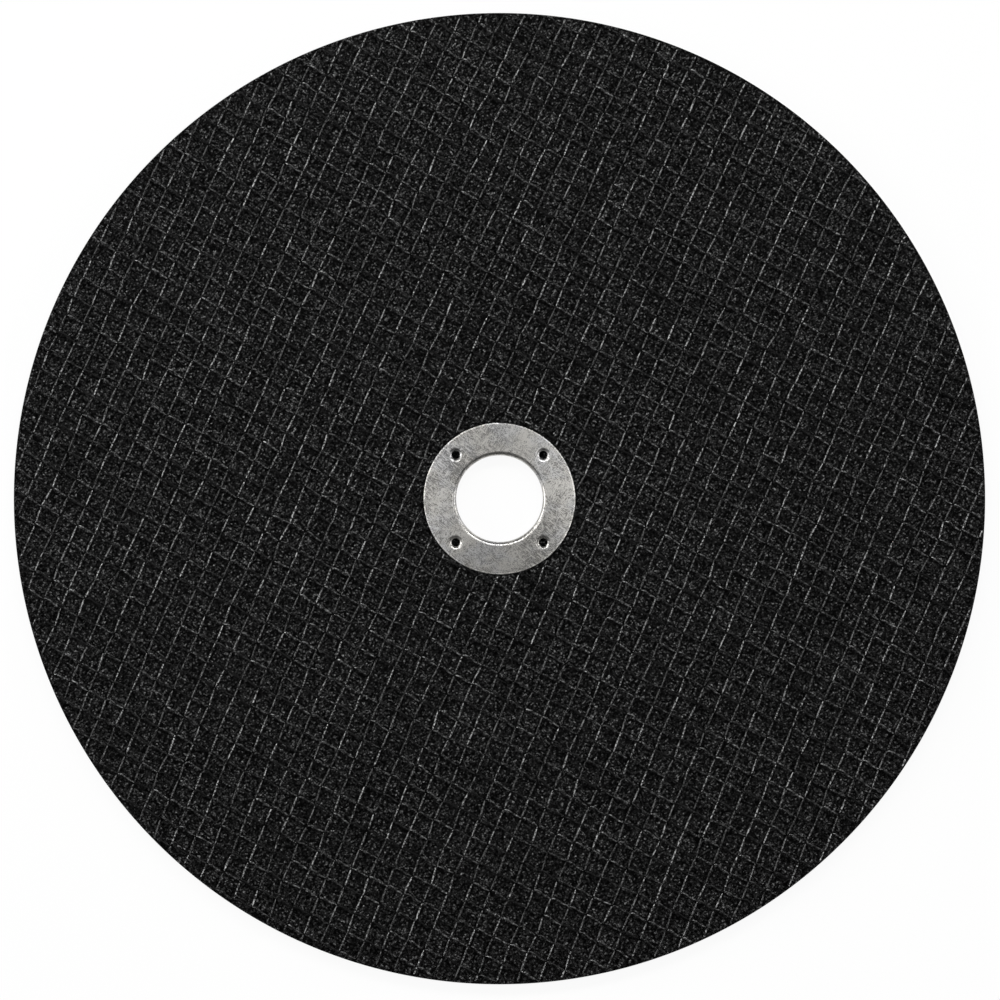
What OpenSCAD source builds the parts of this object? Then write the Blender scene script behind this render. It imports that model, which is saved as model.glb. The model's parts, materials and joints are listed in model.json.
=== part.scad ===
// Cut off wheel: a resin bonded abrasive disc, moulded with glass yarn at its faces, and the stamped
// steel bush that lines its bore. It lies on its back face: +Z is the bore's axis, and z = 0 is the
// plane of the yarn crests that it lies on.

/* [Wheel] */
// Outside diameter of the wheel
wheel_d = 177.8; // [120:0.1:230]
// Thickness over the yarn crests of both faces
wheel_t = 3.175; // [2.4:0.005:6.4]

/* [Weave] */
// Spacing of the warp yarns
warp_pitch = 3.53; // [3:0.01:8]
// Spacing of the weft yarns
weft_pitch = 3.6; // [3:0.01:8]
// Direction in which the warp yarns run, counted from +X
warp_angle = 66; // [0:0.5:90]
// Turn from the warp yarns to the weft yarns
cross_angle = 87; // [80:0.5:100]
// Depth of the pits between the yarns
relief = 0.25; // [0.1:0.01:0.35]
// Width of the flat crests of the warp yarns
crest_w = 0.6; // [0.2:0.05:1.5]
// Drop of the weft crests below the warp crests
weft_drop = 0.08; // [0.02:0.01:0.09]

/* [Bush] */
// Diameter of the bore
bore_d = 15.875; // [10:0.005:25.4]
// Thickness of the steel sheet
sheet = 0.5; // [0.3:0.05:0.8]
// Inside radius of the fold between flange and collar
bend_r = 0.3; // [0.1:0.05:0.6]
// Width of the flange outside the fold
flange_w = 5.15; // [4.5:0.05:9]
// Radius of the flange's upper edge
edge_r = 0.12; // [0.05:0.01:0.2]
// Height of the flange above the yarn crests
flange_rise = 0.2; // [0:0.05:0.25]
// Gap between the collar's end and the plane of the back face
collar_gap = 0.1; // [0:0.05:0.4]

/* [Prongs] */
// Number of prongs pierced through the flange
prong_count = 4; // [3:1:6]
// Distance of a prong's axis from the flange's outer edge
prong_inset = 2.55; // [2:0.05:3]
// Direction of the first prong, counted from +X
prong_angle = 45; // [0:1:90]
// Diameter of the hole through a prong
prong_hole_d = 1.5; // [1:0.05:2]
// Width of the flare round a prong's mouth
flare_w = 0.65; // [0.3:0.05:0.7]
// Radius to which the flare is drawn
flare_r = 0.8; // [0.75:0.05:1.2]
// Wall of a prong
prong_wall = 0.35; // [0.2:0.05:0.5]
// Length of a prong below the flange
prong_length = 0.9; // [0.5:0.05:1.2]

/* [Fits] */
// Room around the bush and its prongs in the moulded seat
seat_clearance = 0.05; // [0.02:0.01:0.2]

/* [Hidden] */
$fn = 96;

wheel_r = wheel_d / 2;
weft_angle = warp_angle + cross_angle;

bore_r = bore_d / 2;
fold_r = bend_r + sheet;
ring_r = bore_r + fold_r + flange_w;
flange_top = wheel_t + flange_rise;
seat_z = flange_top - sheet;
fold_z = flange_top - fold_r;

seat_r = ring_r + seat_clearance;
hole_r = bore_r + sheet + seat_clearance;

prong_circle_r = ring_r - prong_inset;
prong_hole_r = prong_hole_d / 2;
prong_r = prong_hole_r + prong_wall;

// Overlap of a cut past the face that it opens
over = 1;

// Number of yarns on each side of the axis that covers the wheel
function yarn_count(pitch) = ceil(wheel_r / pitch) + 1;

// Outline of the flat crested warp ridges of one face, from left to right
function warp_ridges(crest_z, pit_z) = [
    for (i = [-yarn_count(warp_pitch) : yarn_count(warp_pitch) - 1])
        each [
            [i * warp_pitch + crest_w / 2, crest_z],
            [(i + 0.5) * warp_pitch, pit_z],
            [(i + 1) * warp_pitch - crest_w / 2, crest_z]
        ]
];

// Outline of the sharp weft ridges of one face, from left to right
function weft_ridges(crest_z, pit_z) = [
    for (i = [-2 * yarn_count(weft_pitch) : 2 * yarn_count(weft_pitch)])
        [i * weft_pitch / 2, i % 2 == 0 ? crest_z : pit_z]
];

function reversed(points) = [for (i = [len(points) - 1 : -1 : 0]) points[i]];

// A slab with the given section, run in the direction of its yarns
module yarn_slab(angle, outline)
    rotate([90, 0, angle - 90])
        linear_extrude(2 * (wheel_r + over), center = true)
            polygon(outline);

// Both faces of the weave: warp over weft in front, the warp's ridges behind
module woven_slab() {
    pit_z = wheel_t - relief;
    yarn_slab(warp_angle, concat(warp_ridges(wheel_t, pit_z), reversed(warp_ridges(0, relief))));
    weft_reach = yarn_count(weft_pitch) * weft_pitch;
    yarn_slab(weft_angle, concat(
        weft_ridges(wheel_t - weft_drop, pit_z),
        [[weft_reach, relief], [-weft_reach, relief]]
    ));
}

// Everything that the bush takes up, with its clearance
module seat_section() {
    translate([0, -over])
        square([hole_r, wheel_t + 2 * over]);
    translate([0, seat_z])
        square([seat_r, flange_rise + sheet + over]);
    translate([hole_r, seat_z - bend_r])
        difference() {
            square(bend_r);
            translate([bend_r, 0])
                circle(bend_r);
        }
}

module prong_places()
    for (i = [0 : prong_count - 1])
        rotate([0, 0, prong_angle + i * 360 / prong_count])
            translate([prong_circle_r, 0, 0])
                children();

module abrasive_disc()
    color("#1e1e1e")
        difference() {
            intersection() {
                cylinder(r = wheel_r, h = wheel_t);
                woven_slab();
            }
            rotate_extrude()
                seat_section();
            prong_places()
                translate([0, 0, seat_z - prong_length - seat_clearance])
                    cylinder(r = prong_r + seat_clearance, h = prong_length + sheet);
        }

// Section of the stamped sheet: collar, fold and flange with a rounded edge
module bush_section() {
    translate([bore_r, collar_gap])
        square([sheet, fold_z - collar_gap]);
    translate([bore_r + fold_r, fold_z])
        intersection() {
            difference() {
                circle(fold_r);
                circle(bend_r);
            }
            translate([-fold_r, 0])
                square(fold_r);
        }
    translate([bore_r + fold_r, seat_z]) {
        square([flange_w - edge_r, sheet]);
        square([flange_w, sheet - edge_r]);
    }
    translate([ring_r - edge_r, flange_top - edge_r])
        circle(edge_r);
}

// Hole through a prong, with the flare that the punch leaves at its mouth
module prong_hole()
    rotate_extrude() {
        translate([0, seat_z - prong_length - over])
            square([prong_hole_r, prong_length + sheet + 2 * over]);
        translate([prong_hole_r, flange_top - flare_r])
            difference() {
                square([flare_w, flare_r + over]);
                translate([flare_w, 0])
                    circle(flare_r);
            }
    }

module bush_ring()
    color("#8f9294")
        difference() {
            union() {
                rotate_extrude()
                    bush_section();
                prong_places()
                    translate([0, 0, seat_z - prong_length])
                        cylinder(r = prong_r, h = prong_length + sheet / 2);
            }
            prong_places()
                prong_hole();
        }

abrasive_disc();
bush_ring();
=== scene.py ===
import json
import math
import random

import bpy
import numpy as np
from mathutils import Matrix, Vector

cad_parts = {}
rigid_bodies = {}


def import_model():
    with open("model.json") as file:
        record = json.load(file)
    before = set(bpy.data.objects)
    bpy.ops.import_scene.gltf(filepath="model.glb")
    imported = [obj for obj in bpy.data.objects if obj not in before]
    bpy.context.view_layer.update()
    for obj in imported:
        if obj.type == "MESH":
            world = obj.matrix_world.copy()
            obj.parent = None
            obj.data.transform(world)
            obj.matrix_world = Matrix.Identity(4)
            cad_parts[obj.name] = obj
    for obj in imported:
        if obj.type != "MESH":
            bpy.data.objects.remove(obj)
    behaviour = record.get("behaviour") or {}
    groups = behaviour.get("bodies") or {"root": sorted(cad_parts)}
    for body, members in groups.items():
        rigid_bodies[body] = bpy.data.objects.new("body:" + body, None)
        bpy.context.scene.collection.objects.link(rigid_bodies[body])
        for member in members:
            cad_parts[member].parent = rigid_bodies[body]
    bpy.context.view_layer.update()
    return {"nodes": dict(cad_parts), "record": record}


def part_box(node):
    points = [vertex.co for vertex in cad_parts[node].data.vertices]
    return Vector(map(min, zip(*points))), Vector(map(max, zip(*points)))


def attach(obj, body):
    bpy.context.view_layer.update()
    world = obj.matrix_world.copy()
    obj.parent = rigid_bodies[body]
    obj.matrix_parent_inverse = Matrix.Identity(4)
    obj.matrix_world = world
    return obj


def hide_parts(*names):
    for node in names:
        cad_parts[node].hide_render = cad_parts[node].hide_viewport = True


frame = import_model()
mm = 0.001
print("frame loaded:", sorted(frame["nodes"]))

discLow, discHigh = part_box("abrasive_disc")
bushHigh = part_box("bush_ring")[1]
discRadius = discHigh.x
frontCrest = discHigh.z          # plane of the yarn crests on the visible face
backCrest = discLow.z            # the wheel lies on these
ringRadius = bushHigh.x
boreRadius = frame["record"]["mounts"][0]["dims"]["r_mm"] * mm


# small helpers for modelling by hand

def deselectAll():
    if bpy.context.object and bpy.context.object.mode != "OBJECT":
        bpy.ops.object.mode_set(mode="OBJECT")
    bpy.ops.object.select_all(action="DESELECT")


def useOnly(piece):
    deselectAll()
    piece.select_set(True)
    bpy.context.view_layer.objects.active = piece


def bakePlace(piece):
    useOnly(piece)
    bpy.ops.object.transform_apply(location=True, rotation=True, scale=True)


def applyModifiers(piece):
    useOnly(piece)
    for modifier in list(piece.modifiers):
        bpy.ops.object.modifier_apply(modifier=modifier.name)


def cutOut(piece, tool):
    cut = piece.modifiers.new("cut", "BOOLEAN")
    cut.operation = "DIFFERENCE"
    cut.object = tool
    cut.solver = "EXACT"
    applyModifiers(piece)
    bpy.data.objects.remove(tool)


def addCylinder(radius, low, high, sides, place=(0, 0)):
    deselectAll()
    bpy.ops.mesh.primitive_cylinder_add(vertices=sides, radius=radius, depth=high - low,
                                        location=(place[0], place[1], (low + high) / 2))
    cylinder = bpy.context.object
    bakePlace(cylinder)
    return cylinder


# node helpers

def newMaterial(name):
    material = bpy.data.materials.new(name)
    material.use_nodes = True
    tree = material.node_tree
    return material, tree, tree.nodes["Principled BSDF"]


def addNode(tree, kind, inputs=None, **settings):
    node = tree.nodes.new(kind)
    for key, value in settings.items():
        setattr(node, key, value)
    for key, value in (inputs or {}).items():
        if isinstance(value, bpy.types.NodeSocket):
            tree.links.new(value, node.inputs[key])
        else:
            node.inputs[key].default_value = value
    return node


def mathNode(tree, operation, a, b=0.0):
    return addNode(tree, "ShaderNodeMath", {0: a, 1: b}, operation=operation).outputs[0]


def rampNode(tree, value, stops):
    ramp = addNode(tree, "ShaderNodeValToRGB", {"Fac": value})
    marks = ramp.color_ramp.elements
    while len(marks) < len(stops):
        marks.new(0.5)
    for mark, (place, grey) in zip(marks, stops):
        mark.position = place
        mark.color = (grey, grey, grey, 1) if isinstance(grey, (int, float)) else (*grey, 1)
    return ramp.outputs["Color"]


def stretched(tree, where, turn, length):
    # coordinates in which a pattern is drawn out in one direction, in degrees from Y
    return addNode(tree, "ShaderNodeMapping", {"Vector": where, "Rotation": (0, 0, math.radians(turn)),
                                               "Scale": (1.0, length, 1.0)}, vector_type="TEXTURE").outputs[0]


# camera: straight above the wheel, the photo's top is +Y

cameraView = {
    "height": 1.3,                       # above the visible face
    "sensor": 36.0,
    "framePixels": 1000.0,
    "discCentre": (499.5, 498.65),       # pixel of the wheel's centre
    "discRadius": 485.8,                 # in pixels
}


def addCamera(view):
    pixel = discRadius / view["discRadius"]
    frameWidth = pixel * view["framePixels"]
    half = view["framePixels"] / 2
    bpy.ops.object.camera_add(location=(
        (half - view["discCentre"][0]) * pixel,
        (view["discCentre"][1] - half) * pixel,
        frontCrest + view["height"]))
    camera = bpy.context.object
    camera.name = "camera"
    camera.data.sensor_width = view["sensor"]
    camera.data.lens = view["sensor"] * view["height"] / frameWidth
    bpy.context.scene.camera = camera


addCamera(cameraView)

# light: a wide soft key from the photo's top, two side lights, two small boxes beside the camera
# and a dim room

lights = {
    "key": {"place": (-0.06, 0.59, 0.92), "size": (1.36, 0.23), "power": 9.0},
    "left": {"place": (-0.83, 0.20, 0.40), "size": (0.87, 0.42), "power": 5.2},
    "right": {"place": (0.86, 0.17, 0.37), "size": (0.87, 0.42), "power": 2.7},
    "topLeft": {"place": (-0.41, 0.03, 1.34), "size": (0.40, 0.40), "power": 1.23},
    "topRight": {"place": (0.41, 0.03, 1.34), "size": (0.40, 0.40), "power": 1.42},
    "room": {"dim": 0.10, "wall": 0.85, "frontShare": 0.15, "wallTop": (0.30, 0.65)},
}


def addSoftLight(name, place, size, power):
    bpy.ops.object.light_add(type="AREA", location=place)
    lamp = bpy.context.object
    lamp.name = name
    lamp.data.shape = "RECTANGLE"
    lamp.data.size, lamp.data.size_y = size
    lamp.data.energy = power
    lamp.rotation_euler = Vector(place).to_track_quat("Z", "Y").to_euler()


for lampName in ("key", "left", "right", "topLeft", "topRight"):
    addSoftLight(lampName + "Light", **lights[lampName])


def addRoom(values):
    # a dim room, with the pale walls at the left and right that the metal mirrors
    room = bpy.data.worlds.new("room")
    room.use_nodes = True
    tree = room.node_tree
    where = addNode(tree, "ShaderNodeTexCoord").outputs["Generated"]
    way = addNode(tree, "ShaderNodeSeparateXYZ", {0: where})
    low, high = values["wallTop"]
    wall = addNode(tree, "ShaderNodeMapRange",
                   {0: way.outputs["Z"], 1: low, 2: high, 3: values["wall"], 4: 0.0},
                   interpolation_type="SMOOTHSTEP").outputs[0]
    aside = mathNode(tree, "MULTIPLY", way.outputs["X"], way.outputs["X"])
    aside = mathNode(tree, "MULTIPLY", aside, 1 - values["frontShare"])
    aside = mathNode(tree, "ADD", aside, values["frontShare"])
    path = addNode(tree, "ShaderNodeLightPath")
    seen = mathNode(tree, "MAXIMUM", path.outputs["Is Glossy Ray"], path.outputs["Is Transmission Ray"])
    shown = mathNode(tree, "MULTIPLY", mathNode(tree, "MULTIPLY", wall, aside), seen)
    shown = mathNode(tree, "ADD", shown, path.outputs["Is Camera Ray"])
    background = tree.nodes["Background"]
    background.inputs["Color"].default_value = (1, 1, 1, 1)
    tree.links.new(mathNode(tree, "MAXIMUM", shown, values["dim"]), background.inputs["Strength"])
    bpy.context.scene.world = room


addRoom(lights["room"])
bpy.context.scene.view_settings.view_transform = "Standard"

# floor: pale, and seen as near white

floorValues = {"size": 4.0, "drop": 0.2 * mm, "white": 0.90, "roughness": 0.9, "seenShare": 0.93}


def floorMaterial(values):
    material, tree, shader = newMaterial("paleFloor")
    shader.inputs["Base Color"].default_value = (values["white"],) * 3 + (1,)
    shader.inputs["Roughness"].default_value = values["roughness"]
    path = addNode(tree, "ShaderNodeLightPath")
    seen = mathNode(tree, "MAXIMUM", path.outputs["Is Camera Ray"], path.outputs["Is Glossy Ray"])
    seen = mathNode(tree, "MAXIMUM", seen, path.outputs["Is Transmission Ray"])
    share = mathNode(tree, "MULTIPLY", seen, values["seenShare"])
    glow = addNode(tree, "ShaderNodeEmission", {"Color": (1, 1, 1, 1), "Strength": 1.0})
    mix = addNode(tree, "ShaderNodeMixShader",
                  {0: share, 1: shader.outputs[0], 2: glow.outputs[0]})
    tree.links.new(mix.outputs[0], tree.nodes["Material Output"].inputs["Surface"])
    return material


deselectAll()
bpy.ops.mesh.primitive_plane_add(size=floorValues["size"], location=(0, 0, backCrest - floorValues["drop"]))
floor = bpy.context.object
floor.name = "floor"
bakePlace(floor)
floor.data.materials.append(floorMaterial(floorValues))
print("camera, lights and floor ready")

# weave: where the yarns of both faces cross
# each yarn family: angle across its yarns, spacing, place of its first yarn, and how its lines bend
# towards the rim

weave = {
    "count": 27,                         # yarns on each side of the middle
    "waver": 0.11 * mm,                  # small wandering of each crossing
    "rimMargin": 0.32 * mm,              # bare strip inside the rim and round the bush
    "bushMargin": 0.30 * mm,
    "shortest": 0.3,                     # least share of a stitch that is kept at these
    "warp": {"across": math.radians(-24.0), "pitch": 3.533 * mm, "first": 1.88 * mm,
             "crowd": 0.3 * mm, "fan": -1.25 * mm, "bow": 1.4 * mm},
    "weft": {"across": math.radians(63.15), "pitch": 3.600 * mm, "first": 0.07 * mm,
             "crowd": -1.1 * mm, "fan": 1.1 * mm, "bow": 1.55 * mm},
}


def unit(angle):
    return np.array((math.cos(angle), math.sin(angle)))


def yarnPlace(family, number, points):
    # distance of a yarn from the middle, with its bend at these points
    q = points @ unit(family["across"]) / discRadius
    s = points @ unit(family["across"] + math.pi / 2) / discRadius
    return (family["first"] + number * family["pitch"]
            + family["crowd"] * q ** 2 + family["fan"] * q * s + family["bow"] * s ** 2)


def crossings(values, seed):
    n = values["count"]
    warp, weft = values["warp"], values["weft"]
    i, j = np.meshgrid(np.arange(-n, n + 1), np.arange(-n, n + 1), indexing="ij")
    across = np.array((unit(warp["across"]), unit(weft["across"])))
    points = np.zeros(i.shape + (2,))
    for step in range(4):
        lines = np.stack((yarnPlace(warp, i, points), yarnPlace(weft, j, points)), -1)
        points = lines @ np.linalg.inv(across).T
    return points + np.random.default_rng(seed).normal(0, values["waver"], points.shape)


# finishes of the abrasive

abrasiveFinish = {
    "grain": 0.36 * mm,                  # size of a grit grain
    "facetSlope": 2.0,                   # how far the grains' facets tilt
    "sliverWidth": 0.25 * mm,            # patches of tone across the grains
    "sliver": 1.9,                       # their length over their width
    "sliverTurns": (58, -48),            # two directions of the patches, in degrees
    "sliverZone": 1.6 * mm,
    "fineGrain": 0.20 * mm,
    "fineHeight": 0.06 * mm,
    "patch": 12.0 * mm,                  # size of the slow changes of tone, and how far they go
    "patchShare": 0.10,
    "tones": [(0.0, 0.0004), (0.35, 0.013), (0.72, 0.058), (0.90, 0.140), (1.0, 0.265)],
    "gapShade": [(0.23, 1.0), (0.64, 0.12)],     # painted shade in the deep gaps between the grains
    "roughness": [(0.3, 0.60), (0.7, 0.38)],
    "specular": 0.035,
    # painted shade from one yarn to the next: painted shadow beside the yarns, and a painted hollow darkening
    # the middle of each cell
    "warpFillets": [(0.03, 0.95), (0.10, 0.46), (0.18, 0.50), (0.27, 1.0), (0.34, 0.93), (0.43, 0.57),
                    (0.52, 0.62), (0.64, 1.0), (0.71, 0.90), (0.80, 0.54), (0.86, 0.48)],
    "weftFillets": [(0.10, 1.0), (0.40, 0.97), (0.57, 0.80), (0.70, 0.95), (0.79, 0.80), (0.86, 0.30),
                    (0.92, 0.36), (0.99, 1.0)],
}


def yarnPhase(tree, where, family):
    # 0 to 1 from one yarn to the next, along the same lines as yarnPlace
    def along(angle):
        direction = (*(unit(angle) / discRadius), 0)
        return addNode(tree, "ShaderNodeVectorMath", {0: where, 1: direction},
                       operation="DOT_PRODUCT").outputs["Value"]
    q, s = along(family["across"]), along(family["across"] + math.pi / 2)
    place = mathNode(tree, "SUBTRACT", mathNode(tree, "MULTIPLY", q, discRadius), family["first"])
    for bend, a, b in (("crowd", q, q), ("fan", q, s), ("bow", s, s)):
        shift = mathNode(tree, "MULTIPLY", mathNode(tree, "MULTIPLY", a, b), family[bend])
        place = mathNode(tree, "SUBTRACT", place, shift)
    return mathNode(tree, "FLOORED_MODULO", mathNode(tree, "DIVIDE", place, family["pitch"]), 1.0)


def abrasiveMaterial(values):
    material, tree, shader = newMaterial("bondedAbrasive")
    where = addNode(tree, "ShaderNodeTexCoord").outputs["Object"]
    grains = addNode(tree, "ShaderNodeTexVoronoi", {"Vector": where, "Scale": 1 / values["grain"]})
    fine = addNode(tree, "ShaderNodeTexNoise",
                   {"Vector": where, "Scale": 1 / values["fineGrain"], "Detail": 2.0, "Roughness": 0.6})
    patch = addNode(tree, "ShaderNodeTexNoise",
                    {"Vector": where, "Scale": 1 / values["patch"], "Detail": 3.0})
    # each grain is a flat facet with its own tilt
    tilt = addNode(tree, "ShaderNodeVectorMath", {0: grains.outputs["Color"], 1: (0.5, 0.5, 0.5)},
                   operation="SUBTRACT").outputs[0]
    inside = addNode(tree, "ShaderNodeVectorMath", {0: where, 1: grains.outputs["Position"]},
                     operation="SUBTRACT").outputs[0]
    facet = addNode(tree, "ShaderNodeVectorMath", {0: tilt, 1: inside},
                    operation="DOT_PRODUCT").outputs["Value"]
    height = mathNode(tree, "ADD", mathNode(tree, "MULTIPLY", facet, values["facetSlope"]),
                      mathNode(tree, "MULTIPLY", fine.outputs["Fac"], values["fineHeight"]))
    bump = addNode(tree, "ShaderNodeBump", {"Height": height, "Strength": 1.0, "Distance": 1.0})
    tree.links.new(bump.outputs[0], shader.inputs["Normal"])
    # slivers of tone lie one way or the other, zone by zone
    slivers = []
    for turn in values["sliverTurns"]:
        turned = stretched(tree, where, turn, values["sliver"])
        cells = addNode(tree, "ShaderNodeTexVoronoi", {"Vector": turned, "Scale": 1 / values["sliverWidth"]})
        slivers.append(addNode(tree, "ShaderNodeSeparateXYZ", {0: cells.outputs["Color"]}).outputs["Z"])
    zone = addNode(tree, "ShaderNodeTexNoise",
                   {"Vector": where, "Scale": 1 / values["sliverZone"], "Detail": 1.0})
    zone = rampNode(tree, zone.outputs["Fac"], [(0.48, 0.0), (0.52, 1.0)])
    ownTone = addNode(tree, "ShaderNodeMix", {0: zone, 2: slivers[0], 3: slivers[1]}).outputs[0]
    drift = mathNode(tree, "SUBTRACT", patch.outputs["Fac"], 0.5)
    drift = mathNode(tree, "MULTIPLY", drift, values["patchShare"])
    tone = rampNode(tree, mathNode(tree, "ADD", ownTone, drift), values["tones"])
    # painted shade darkens the gaps between the grains
    tone = mathNode(tree, "MULTIPLY", tone, rampNode(tree, grains.outputs["Distance"], values["gapShade"]))
    # painted shadow beside the yarns and painted shade in the middle of each cell, laid along the weave
    for name in ("warp", "weft"):
        paintedShade = rampNode(tree, yarnPhase(tree, where, weave[name]), values[name + "Fillets"])
        tone = mathNode(tree, "MULTIPLY", tone, paintedShade)
    tree.links.new(tone, shader.inputs["Base Color"])
    rough = rampNode(tree, fine.outputs["Fac"], values["roughness"])
    tree.links.new(rough, shader.inputs["Roughness"])
    shader.inputs["Specular IOR Level"].default_value = values["specular"]
    return material


yarnFinish = {
    # from resin to bare glass
    "tones": [(0.0, 0.003), (0.05, 0.010), (0.15, 0.046), (0.4, 0.120), (1.0, 0.63)],
    "fibre": 0.12 * mm,                  # grain of the fibres
    "fibreHeight": 0.04 * mm,
    "fibreStrength": 0.5,
    "fleck": 0.34 * mm,                  # size of the worn spots
    "wear": [(0.41, 0.04), (0.58, 1.0)],
    "roughness": [(0.3, 0.55), (0.7, 0.34)],
    "specular": 0.10,
}


def yarnMaterial(values):
    material, tree, shader = newMaterial("resinCoatedYarn")
    where = addNode(tree, "ShaderNodeTexCoord").outputs["Object"]
    shade = addNode(tree, "ShaderNodeAttribute", attribute_name="yarnShade").outputs["Fac"]
    fleck = addNode(tree, "ShaderNodeTexNoise",
                    {"Vector": where, "Scale": 1 / values["fleck"], "Detail": 2.0}).outputs["Fac"]
    fibre = addNode(tree, "ShaderNodeTexNoise",
                    {"Vector": where, "Scale": 1 / values["fibre"], "Detail": 1.0}).outputs["Fac"]
    tone = mathNode(tree, "MULTIPLY", shade, rampNode(tree, fleck, values["wear"]))
    tree.links.new(rampNode(tree, tone, values["tones"]), shader.inputs["Base Color"])
    tree.links.new(rampNode(tree, fleck, values["roughness"]), shader.inputs["Roughness"])
    shader.inputs["Specular IOR Level"].default_value = values["specular"]
    bump = addNode(tree, "ShaderNodeBump", {"Height": fibre, "Strength": values["fibreStrength"],
                                            "Distance": values["fibreHeight"]})
    tree.links.new(bump.outputs[0], shader.inputs["Normal"])
    return material


abrasive = abrasiveMaterial(abrasiveFinish)
yarn = yarnMaterial(yarnFinish)

# disc body: the moulded blank between the yarns, with the seat of the bush

discBody = {
    "yarnRise": 0.17 * mm,               # the yarn crests stand this far above the face
    "sides": 480,
    "rimChamfer": 0.15 * mm,
    "seatGap": 0.05 * mm,
    "sheet": 0.5 * mm,
    "holeSides": 128,
    "seatSides": 192,
    "prongs": 4,
    "firstProng": 45,                    # its direction, in degrees from +X
    "prongCircle": 11.3375 * mm,
    "prongRadius": 1.15 * mm,
    "prongDepth": 1.0 * mm,
    "prongSides": 32,
    "over": 1 * mm,                      # how far a cut reaches past the face
}


def makeDiscBody(values):
    low, high = backCrest + values["yarnRise"], frontCrest - values["yarnRise"]
    body = addCylinder(discRadius, low, high, values["sides"])
    body.name = "discBody"
    rim = body.modifiers.new("rim", "BEVEL")
    rim.width = values["rimChamfer"]
    rim.segments = 2
    rim.limit_method = "ANGLE"
    rim.angle_limit = math.radians(60)
    applyModifiers(body)
    seatFloor = bushHigh.z - values["sheet"]
    bottom, top = low - values["over"], high + values["over"]
    holeRadius = boreRadius + values["sheet"] + values["seatGap"]
    cutOut(body, addCylinder(holeRadius, bottom, top, values["holeSides"]))
    cutOut(body, addCylinder(ringRadius + values["seatGap"], seatFloor, top, values["seatSides"]))
    for number in range(values["prongs"]):
        turn = math.radians(values["firstProng"] + 360 / values["prongs"] * number)
        cutOut(body, addCylinder(values["prongRadius"], seatFloor - values["prongDepth"], top,
                                 values["prongSides"], values["prongCircle"] * unit(turn)))
    useOnly(body)
    bpy.ops.object.shade_smooth_by_angle(angle=math.radians(35))
    body.data.materials.clear()
    body.data.materials.append(abrasive)
    return body


body = makeDiscBody(discBody)
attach(body, "root")
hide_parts("abrasive_disc")
print("disc body:", len(body.data.polygons), "faces")

# yarns: one stitch is modelled for each direction, then copied along the weave
# shade is a range of tone, and rise is how far a stitch stands up, as a share of yarnRise

warpStitch = {
    "name": "warp",
    "halfWidth": 0.195 * mm,
    "halfLength": 1.74 * mm,
    "segments": 8,
    "rings": 6,
    "yaw": math.radians(1.2),            # the stitch leans across its yarn
    "bow": (-0.04 * mm, 0.04 * mm),      # how far it bulges to one side
    "hook": 0.0,                         # where it bulges, from -1 to 1 along it
    "shade": (0.42, 1.0),
    "crestHighlight": 1.6,                        # how closely the painted highlight keeps to the top of the yarn
    "tones": [(-1.0, 0.8), (-0.5, 1.0), (0.0, 0.8), (0.6, 0.9), (1.0, 1.0)],     # painted highlight and shade from end to end
    "rise": (0.80, 1.0),
}
weftStitch = {
    "name": "weft",
    "halfWidth": 0.22 * mm,
    "halfLength": 1.80 * mm,
    "segments": 6,
    "rings": 8,
    "yaw": 0.0,
    "bow": (-0.42 * mm, -0.14 * mm),
    "hook": -0.5,
    "shade": (0.0, 0.77),
    "crestHighlight": 1.1,
    # painted highlight near the ends and painted shade in the middle, from end to end
    "tones": [(-1.0, 1.5), (-0.7, 1.1), (-0.4, 0.7), (0.0, 0.2), (0.38, 0.95), (0.7, 0.6), (1.0, 1.4)],
    "rise": (0.40, 0.75),
}
stitchSpread = {
    "fullness": 3.2,                     # more than 2 gives fuller ends than an ellipsoid has
    "turn": 1.5,                         # wandering of a stitch's direction, in degrees
    "stretch": (0.90, 1.04),
    "width": (0.85, 1.15),
    "bulge": 0.45,                       # share of the half length that a bulge takes up
    "shadePower": 1.3,                   # more than 1 makes light stitches rarer
    "slope": 0.3,                        # change of tone from end to end
}


def modelStitch(values):
    deselectAll()
    bpy.ops.mesh.primitive_uv_sphere_add(segments=values["segments"], ring_count=values["rings"], radius=1.0,
                                         rotation=(math.radians(90), 0, 0))
    stitch = bpy.context.object
    stitch.name = values["name"] + "Stitch"
    bakePlace(stitch)
    for vertex in stitch.data.vertices:
        y = abs(vertex.co.y)
        fuller = (1 - y ** stitchSpread["fullness"]) ** 0.5 if y < 0.999 else 0.0
        reach = math.hypot(vertex.co.x, vertex.co.z)
        if reach > 1e-6:
            vertex.co.x *= fuller / reach
            vertex.co.z *= fuller / reach
    stitch.scale = (values["halfWidth"], values["halfLength"], discBody["yarnRise"])
    bakePlace(stitch)
    return stitch


def stitchRuns(points, direction):
    # start and end of each stitch, kept inside the rim and clear of the bush
    start = points[:, :-1] if direction == "warp" else points[:-1, :]
    end = points[:, 1:] if direction == "warp" else points[1:, :]
    start, end = start.reshape(-1, 2), end.reshape(-1, 2)
    outer, inner = discRadius - weave["rimMargin"], ringRadius + weave["bushMargin"]
    steps = np.linspace(0, 1, 41)
    runs = []
    for a, b in zip(start, end):
        line = a + (b - a) * steps[:, None]
        r = np.hypot(line[:, 0], line[:, 1])
        kept = steps[(r < outer) & (r > inner)]
        if len(kept) > weave["shortest"] * (len(steps) - 1):
            runs.append((a + (b - a) * kept[0], a + (b - a) * kept[-1]))
    return runs


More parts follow.
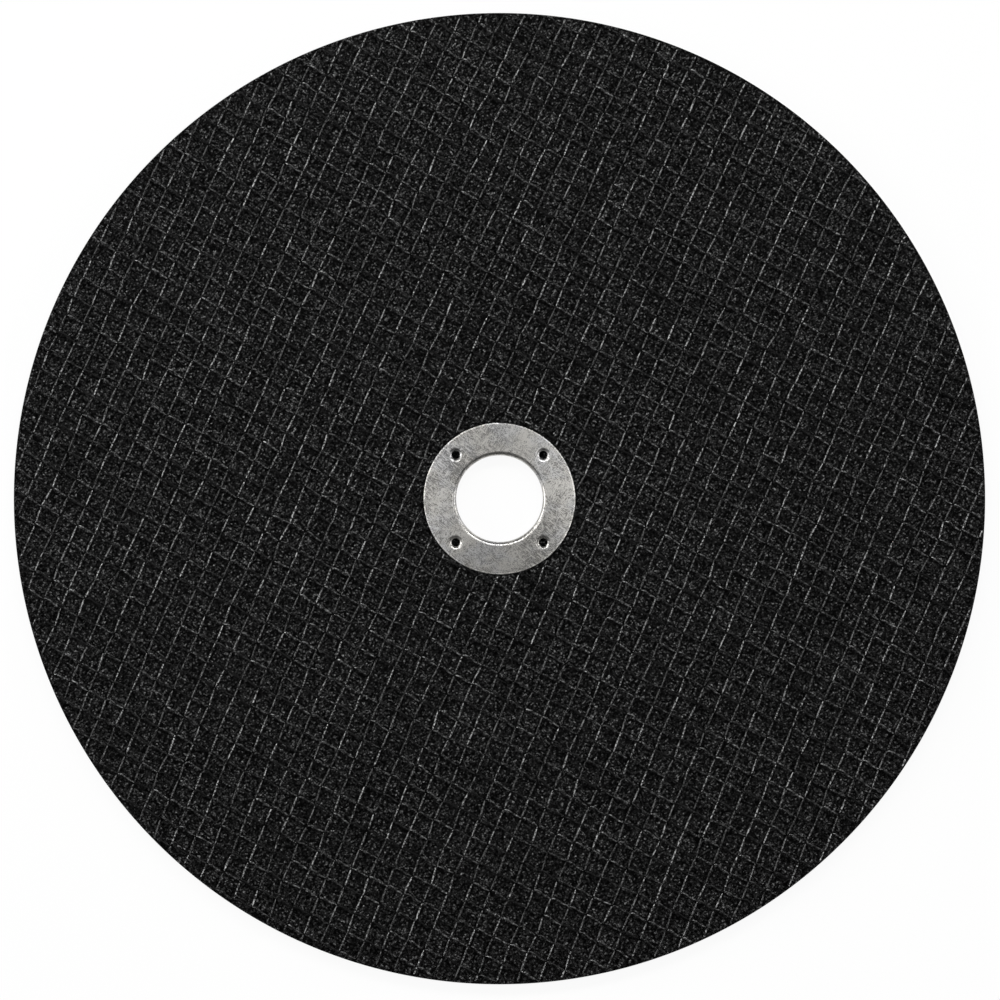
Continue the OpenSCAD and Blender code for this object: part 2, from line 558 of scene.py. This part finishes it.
def layStitches(values, points, face, seed):
    stitch = modelStitch(values)
    shape = np.array([v.co for v in stitch.data.vertices])
    faces = sorted(tuple(p.vertices) for p in stitch.data.polygons)     # their own order isn't fixed
    bpy.data.objects.remove(stitch)
    along = shape[:, 1] / values["halfLength"]            # from -1 to 1
    # painted highlight and shade from one end of each stitch to the other
    lightAndShadeAlong = np.interp(along, *zip(*values["tones"]))
    # painted highlight: the tone is lightest on the top of each yarn and darker down its flanks
    spread = np.hypot(shape[:, 0] / values["halfWidth"], shape[:, 2] / discBody["yarnRise"])
    lift = np.clip(shape[:, 2] / discBody["yarnRise"] / np.maximum(spread, 0.01), 0, 1)
    crestHighlight = np.where(spread > 0.01, lift, 1.0) ** values["crestHighlight"]
    rng = random.Random(seed)
    pitch = weave["weft" if values["name"] == "warp" else "warp"]["pitch"]
    plane = frontCrest - discBody["yarnRise"] if face == "front" else backCrest + discBody["yarnRise"]
    side = 1 if face == "front" else -1
    allVertices, allFaces, shades = [], [], []
    for a, b in stitchRuns(points, values["name"]):
        middle = (a + b) / 2
        run = b - a
        turn = math.atan2(run[1], run[0]) - math.pi / 2 + values["yaw"]
        turn += math.radians(rng.gauss(0, stitchSpread["turn"]))
        stretch = np.hypot(*run) / pitch * rng.uniform(*stitchSpread["stretch"])
        rise = rng.uniform(*values["rise"])
        shade = rng.uniform(*values["shade"]) ** stitchSpread["shadePower"]
        copy = shape * (rng.uniform(*stitchSpread["width"]), stretch, 1.0)
        bulge = np.exp(-((along - values["hook"]) / stitchSpread["bulge"]) ** 2)
        copy[:, 0] += rng.uniform(*values["bow"]) * bulge
        c, s = math.cos(turn), math.sin(turn)
        x = c * copy[:, 0] - s * copy[:, 1] + middle[0]
        y = s * copy[:, 0] + c * copy[:, 1] + middle[1]
        z = plane + side * (copy[:, 2] - (1 - rise) * discBody["yarnRise"])
        first = len(allVertices) * len(shape)
        allVertices.append(np.stack((x, y, z), 1))
        allFaces += [tuple(first + k for k in corners[::side]) for corners in faces]
        slope = rng.uniform(-stitchSpread["slope"], stitchSpread["slope"])
        shades += list(shade * crestHighlight * lightAndShadeAlong * (1 + slope * along))
    mesh = bpy.data.meshes.new(face + values["name"].capitalize())
    mesh.from_pydata(np.concatenate(allVertices).tolist(), [], allFaces)
    mesh.attributes.new("yarnShade", "FLOAT", "POINT").data.foreach_set("value", shades)
    mesh.materials.append(yarn)
    piece = bpy.data.objects.new(mesh.name, mesh)
    bpy.context.collection.objects.link(piece)
    useOnly(piece)
    bpy.ops.object.shade_smooth()
    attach(piece, "root")
    print(piece.name + ":", len(mesh.polygons), "faces")


for seed, faceName in enumerate(("front", "back")):
    places = crossings(weave, 11 + seed)
    layStitches(warpStitch, places, faceName, 21 + seed)
    layStitches(weftStitch, places, faceName, 31 + seed)

# bush: the stamped ring keeps its CAD shape and gets a zinc plated finish

zincFinish = {
    "grey": 0.366,
    "warm": (1.0, 0.975, 0.925),         # tints of the plating
    "cool": (1.0, 0.995, 0.992),
    "paintedDiagonalShade": 0.026,                   # painted light and shade: how much darker it is along one diagonal and lighter along the other
    "tint": 5.0 * mm,
    "cloud": 4.0 * mm,                   # size of the dull and bright areas
    "mottle": 0.70 * mm,
    "grain": 0.24 * mm,
    "streak": 0.14 * mm,                 # width of the fine streaks and scratches
    "streakTurns": (52, -30),            # their two directions, in degrees
    "streakLength": 5,                   # lengths over the width
    "scratchLength": 16,
    "zone": 2.8 * mm,                    # size of the zones with one direction
    "hairline": 2.6 * mm,                # spacing of the curved hairlines
    "bump": 0.002 * mm,
    "dish": 0.06,                        # slope to which the flange falls at its edge
    "edgeWidth": 0.60 * mm,              # across the outer edge: a painted dark line, then a painted highlight on the worn edge
    "edgeHighlightTones": [(0.0, 0.64), (0.28, 0.60), (0.42, 0.52), (0.62, 1.0)],
    "edgeGain": 1.56,
    # how much each layer adds to the tone
    "weights": {"cloud": 0.25, "mottle": 0.17, "grain": 0.31, "streak": 0.27, "scratch": 0.20, "hair": 0.15},
    "contrast": [(0.44, 0.50), (0.50, 1.0), (0.56, 1.6)],     # share of the grey, by tone
    "roughness": [(0.42, 0.37), (0.58, 0.29)],
}


def zincMaterial(values):
    material, tree, shader = newMaterial("zincPlatedSteel")
    where = addNode(tree, "ShaderNodeTexCoord").outputs["Object"]
    shader.inputs["Metallic"].default_value = 1.0

    def noise(vector, size, detail):
        return addNode(tree, "ShaderNodeTexNoise", {"Vector": vector, "Scale": 1 / size, "Detail": detail,
                                                    "Roughness": 0.6}).outputs["Fac"]

    flat = addNode(tree, "ShaderNodeVectorMath", {0: where, 1: (1, 1, 0)}, operation="MULTIPLY").outputs[0]

    # fine streaks and scratches that change direction from zone to zone
    zone = rampNode(tree, noise(where, values["zone"], 1.0), [(0.46, 0.0), (0.54, 1.0)])

    def zoned(length, detail):
        one, other = [noise(stretched(tree, where, turn, length), values["streak"], detail)
                      for turn in values["streakTurns"]]
        return addNode(tree, "ShaderNodeMix", {0: zone, 2: one, 3: other}).outputs[0]

    scratch = rampNode(tree, zoned(values["scratchLength"], 0.0), [(0.62, 0.0), (0.70, 1.0)])
    bend = mathNode(tree, "ABSOLUTE", mathNode(tree, "SUBTRACT", noise(where, values["hairline"], 1.0), 0.5))
    hair = mathNode(tree, "MULTIPLY", rampNode(tree, bend, [(0.0, 1.0), (0.020, 0.0)]), zone)
    way = addNode(tree, "ShaderNodeVectorMath", {0: flat}, operation="NORMALIZE").outputs[0]
    across = addNode(tree, "ShaderNodeSeparateXYZ", {0: way})
    weights = values["weights"]
    layers = [
        (noise(where, values["cloud"], 3.0), weights["cloud"]),
        (noise(where, values["mottle"], 2.0), weights["mottle"]),
        (noise(where, values["grain"], 1.0), weights["grain"]),
        (zoned(values["streakLength"], 1.0), weights["streak"]),
        (scratch, weights["scratch"]),
        (hair, weights["hair"]),
        # painted light and shade across the flange, lighter along one diagonal and darker along the other
        (mathNode(tree, "MULTIPLY", across.outputs["X"], across.outputs["Y"]), 2 * values["paintedDiagonalShade"]),
    ]
    tone = 0.0
    for layer, weight in layers:
        tone = mathNode(tree, "ADD", tone, mathNode(tree, "MULTIPLY", layer, weight))
    bright = rampNode(tree, tone, [(place, values["grey"] * share) for place, share in values["contrast"]])
    tint = rampNode(tree, noise(where, values["tint"], 2.0), [(0.40, values["cool"]), (0.56, values["warm"])])
    reach = addNode(tree, "ShaderNodeVectorMath", {0: flat}, operation="LENGTH").outputs["Value"]
    # painted highlight along the flange's outer edge, partly wear of the plating, with a painted dark line
    # just inside it
    edge = addNode(tree, "ShaderNodeMapRange",
                   {0: reach, 1: ringRadius - values["edgeWidth"], 2: ringRadius}).outputs[0]
    edge = mathNode(tree, "MULTIPLY", rampNode(tree, edge, values["edgeHighlightTones"]), values["edgeGain"])
    bright = mathNode(tree, "MULTIPLY", bright, edge)
    colour = addNode(tree, "ShaderNodeVectorMath", {0: bright, 1: tint}, operation="MULTIPLY").outputs[0]
    tree.links.new(colour, shader.inputs["Base Color"])
    tree.links.new(rampNode(tree, tone, values["roughness"]), shader.inputs["Roughness"])
    # a slight fall towards the flange's edge, and the surface's own unevenness
    fall = mathNode(tree, "MULTIPLY", mathNode(tree, "POWER", reach, 2.0), -values["dish"] / (2 * ringRadius))
    height = mathNode(tree, "ADD", fall, mathNode(tree, "MULTIPLY", tone, values["bump"]))
    bump = addNode(tree, "ShaderNodeBump", {"Height": height, "Strength": 1.0, "Distance": 1.0})
    tree.links.new(bump.outputs[0], shader.inputs["Normal"])
    return material


bush = frame["nodes"]["bush_ring"]
bush.data.materials.clear()
bush.data.materials.append(zincMaterial(zincFinish))
print("bush finished")
